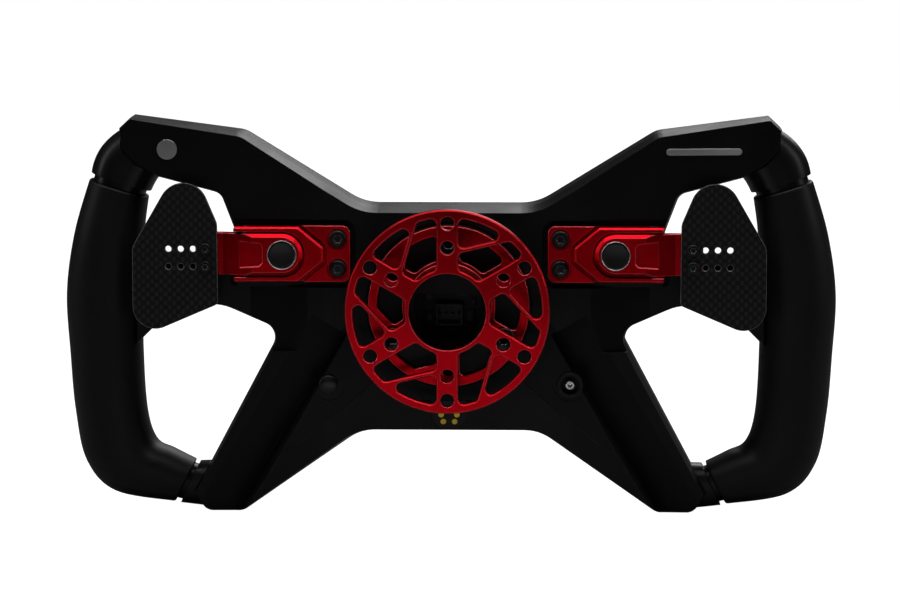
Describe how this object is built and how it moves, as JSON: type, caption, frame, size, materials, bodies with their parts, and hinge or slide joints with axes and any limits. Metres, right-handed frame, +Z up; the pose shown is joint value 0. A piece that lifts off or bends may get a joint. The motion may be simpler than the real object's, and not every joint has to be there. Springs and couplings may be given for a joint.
{
  "type": "racing steering wheel",
  "caption": "Open-topped racing steering wheel with side grips, a drilled red hub adapter, magnetic paddle shifters behind it, and buttons and knobs in front.",
  "frame": {"origin": "centre of the hub plate's bolt circles, on its rear face", "axes": "+Y along the hub axis away from the driver, +X to the driver's right, +Z up"},
  "size_m": [0.3104, 0.0631, 0.1591],
  "materials": {
    "shell_black": "fine satin moulded finish",
    "face_carbon": "woven carbon under clear lacquer",
    "grip_rubber": "matt moulded rubber",
    "core_black": "satin black",
    "red_anodised": "satin red anodised",
    "black_steel": "black oxide",
    "steel": "ground",
    "cap_black": "semi-gloss",
    "blade_carbon": "woven carbon, satin lacquer",
    "magnet_nickel": "nickel plated",
    "contact_gold": "gold plated",
    "badge_silver": "brushed satin",
    "board_dark": "solder resist",
    "plastic_black": "moulded",
    "bezel_black": "black anodised",
    "button_white": "moulded",
    "button_red": "moulded",
    "knob_black": "black anodised"
  },
  "bodies": {
    "root": {"rear_shell": "shell_black", "front_plate": "face_carbon", "plate_screws": "black_steel", "hub_adapter": "red_anodised", "hub_screws": "black_steel", "main_board": "board_dark", "board_header": "plastic_black", "dock_insert": "plastic_black", "dock_contacts": "contact_gold", "rear_button_switch": "plastic_black", "accessory_socket": "plastic_black", "socket_core": "steel", "badge_disc": "badge_silver", "badge_bar": "badge_silver", "button_bezels": "bezel_black", "button_switches": "plastic_black", "encoder_bodies": "steel", "grip_right": "grip_rubber", "grip_core_right": "core_black", "paddle_base_right": "red_anodised", "paddle_base_screws_right": "black_steel", "paddle_pivot_pin_right": "steel", "paddle_fixed_magnet_right": "magnet_nickel", "paddle_switch_right": "plastic_black", "grip_left": "grip_rubber", "grip_core_left": "core_black", "paddle_base_left": "red_anodised", "paddle_base_screws_left": "black_steel", "paddle_pivot_pin_left": "steel", "paddle_fixed_magnet_left": "magnet_nickel", "paddle_switch_left": "plastic_black"},
    "paddle_right": {"paddle_lever_right": "red_anodised", "paddle_lever_magnet_right": "magnet_nickel", "paddle_lever_cap_right": "cap_black", "paddle_blade_right": "blade_carbon", "paddle_blade_screws_right": "black_steel"},
    "paddle_left": {"paddle_lever_left": "red_anodised", "paddle_lever_magnet_left": "magnet_nickel", "paddle_lever_cap_left": "cap_black", "paddle_blade_left": "blade_carbon", "paddle_blade_screws_left": "black_steel"},
    "rear_button": {"rear_button": "cap_black"},
    "button_cap_right_1": {"button_cap_right_1": "button_white"},
    "button_cap_right_2": {"button_cap_right_2": "button_white"},
    "button_cap_right_3": {"button_cap_right_3": "button_white"},
    "button_cap_right_4": {"button_cap_right_4": "button_white"},
    "button_cap_right_5": {"button_cap_right_5": "button_red"},
    "knob_right_1": {"knob_right_1": "knob_black"},
    "knob_right_2": {"knob_right_2": "knob_black"},
    "button_cap_left_1": {"button_cap_left_1": "button_white"},
    "button_cap_left_2": {"button_cap_left_2": "button_white"},
    "button_cap_left_3": {"button_cap_left_3": "button_white"},
    "button_cap_left_4": {"button_cap_left_4": "button_white"},
    "button_cap_left_5": {"button_cap_left_5": "button_red"},
    "knob_left_1": {"knob_left_1": "knob_black"},
    "knob_left_2": {"knob_left_2": "knob_black"}
  },
  "joints": [
    {"name": "paddle_right_pull", "type": "hinge", "parent": "root", "child": "paddle_right", "pos_m": [0.0812, -0.0232, 0.0205], "axis": [0, 0, -1], "range_deg": [0, 7], "stiffness_Nm_per_rad": 0.6, "springref_deg": -8.59},
    {"name": "paddle_left_pull", "type": "hinge", "parent": "root", "child": "paddle_left", "pos_m": [-0.0812, -0.0232, 0.0205], "axis": [0, 0, 1], "range_deg": [0, 7], "stiffness_Nm_per_rad": 0.6, "springref_deg": -8.59},
    {"name": "rear_button_press", "type": "slide", "parent": "root", "child": "rear_button", "axis": [0, -1, 0], "range_m": [0, 0.0005], "stiffness_N_per_m": 1200, "springref_m": -0.0008},
    {"name": "button_cap_right_1_press", "type": "slide", "parent": "root", "child": "button_cap_right_1", "axis": [0, 1, 0], "range_m": [0, 0.0006], "stiffness_N_per_m": 1200, "springref_m": -0.0008},
    {"name": "button_cap_right_2_press", "type": "slide", "parent": "root", "child": "button_cap_right_2", "axis": [0, 1, 0], "range_m": [0, 0.0006], "stiffness_N_per_m": 1200, "springref_m": -0.0008},
    {"name": "button_cap_right_3_press", "type": "slide", "parent": "root", "child": "button_cap_right_3", "axis": [0, 1, 0], "range_m": [0, 0.0006], "stiffness_N_per_m": 1200, "springref_m": -0.0008},
    {"name": "button_cap_right_4_press", "type": "slide", "parent": "root", "child": "button_cap_right_4", "axis": [0, 1, 0], "range_m": [0, 0.0006], "stiffness_N_per_m": 1200, "springref_m": -0.0008},
    {"name": "button_cap_right_5_press", "type": "slide", "parent": "root", "child": "button_cap_right_5", "axis": [0, 1, 0], "range_m": [0, 0.0006], "stiffness_N_per_m": 1200, "springref_m": -0.0008},
    {"name": "knob_right_1_turn", "type": "hinge", "parent": "root", "child": "knob_right_1", "pos_m": [0.024, -0.055, 0.014], "axis": [0, -1, 0], "continuous": true},
    {"name": "knob_right_2_turn", "type": "hinge", "parent": "root", "child": "knob_right_2", "pos_m": [0.029, -0.055, -0.034], "axis": [0, -1, 0], "continuous": true},
    {"name": "button_cap_left_1_press", "type": "slide", "parent": "root", "child": "button_cap_left_1", "axis": [0, 1, 0], "range_m": [0, 0.0006], "stiffness_N_per_m": 1200, "springref_m": -0.0008},
    {"name": "button_cap_left_2_press", "type": "slide", "parent": "root", "child": "button_cap_left_2", "axis": [0, 1, 0], "range_m": [0, 0.0006], "stiffness_N_per_m": 1200, "springref_m": -0.0008},
    {"name": "button_cap_left_3_press", "type": "slide", "parent": "root", "child": "button_cap_left_3", "axis": [0, 1, 0], "range_m": [0, 0.0006], "stiffness_N_per_m": 1200, "springref_m": -0.0008},
    {"name": "button_cap_left_4_press", "type": "slide", "parent": "root", "child": "button_cap_left_4", "axis": [0, 1, 0], "range_m": [0, 0.0006], "stiffness_N_per_m": 1200, "springref_m": -0.0008},
    {"name": "button_cap_left_5_press", "type": "slide", "parent": "root", "child": "button_cap_left_5", "axis": [0, 1, 0], "range_m": [0, 0.0006], "stiffness_N_per_m": 1200, "springref_m": -0.0008},
    {"name": "knob_left_1_turn", "type": "hinge", "parent": "root", "child": "knob_left_1", "pos_m": [-0.024, -0.055, 0.014], "axis": [0, -1, 0], "continuous": true},
    {"name": "knob_left_2_turn", "type": "hinge", "parent": "root", "child": "knob_left_2", "pos_m": [-0.029, -0.055, -0.034], "axis": [0, -1, 0], "continuous": true}
  ]
}
